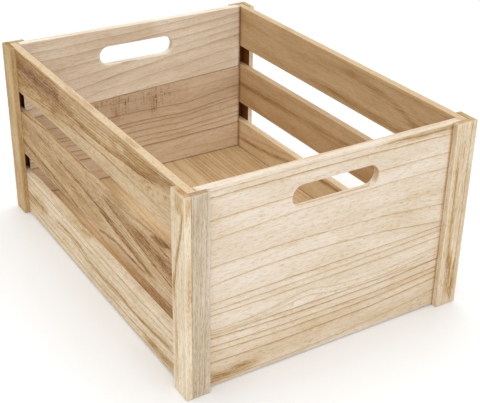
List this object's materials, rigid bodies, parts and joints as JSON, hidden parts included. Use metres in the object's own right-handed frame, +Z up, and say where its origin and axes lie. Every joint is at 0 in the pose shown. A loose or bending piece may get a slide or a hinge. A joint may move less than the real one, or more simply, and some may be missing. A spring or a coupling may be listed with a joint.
{
  "type": "wooden apple crate",
  "caption": "Open-topped wooden crate with solid ends, oval hand holes, slatted sides and two-strip corners.",
  "frame": {"origin": "on the ground under the middle of the crate", "axes": "+X to the right across the end panels, +Y to the back along the side slats, +Z up"},
  "size_m": [0.3, 0.4, 0.195],
  "materials": {
    "panel_wood": "sawn and lightly sanded, bare",
    "slat_wood": "sawn and lightly sanded, bare",
    "strip_wood": "sawn and lightly sanded, bare",
    "floor_wood": "sawn, bare",
    "brad_steel": "bright drawn wire"
  },
  "bodies": {
    "root": {"front_panel_top_board": "panel_wood", "front_panel_bottom_board": "panel_wood", "back_panel_top_board": "panel_wood", "back_panel_bottom_board": "panel_wood", "left_top_slat": "slat_wood", "left_middle_slat": "slat_wood", "left_bottom_slat": "slat_wood", "right_top_slat": "slat_wood", "right_middle_slat": "slat_wood", "right_bottom_slat": "slat_wood", "front_left_side_strip": "strip_wood", "front_left_end_strip": "strip_wood", "front_right_side_strip": "strip_wood", "front_right_end_strip": "strip_wood", "back_left_side_strip": "strip_wood", "back_left_end_strip": "strip_wood", "back_right_side_strip": "strip_wood", "back_right_end_strip": "strip_wood", "floor_board_1": "floor_wood", "floor_board_2": "floor_wood", "floor_board_3": "floor_wood", "floor_board_4": "floor_wood", "left_slat_brads": "brad_steel", "right_slat_brads": "brad_steel", "left_strip_pins": "brad_steel", "right_strip_pins": "brad_steel", "front_strip_pins": "brad_steel", "back_strip_pins": "brad_steel"}
  },
  "joints": []
}
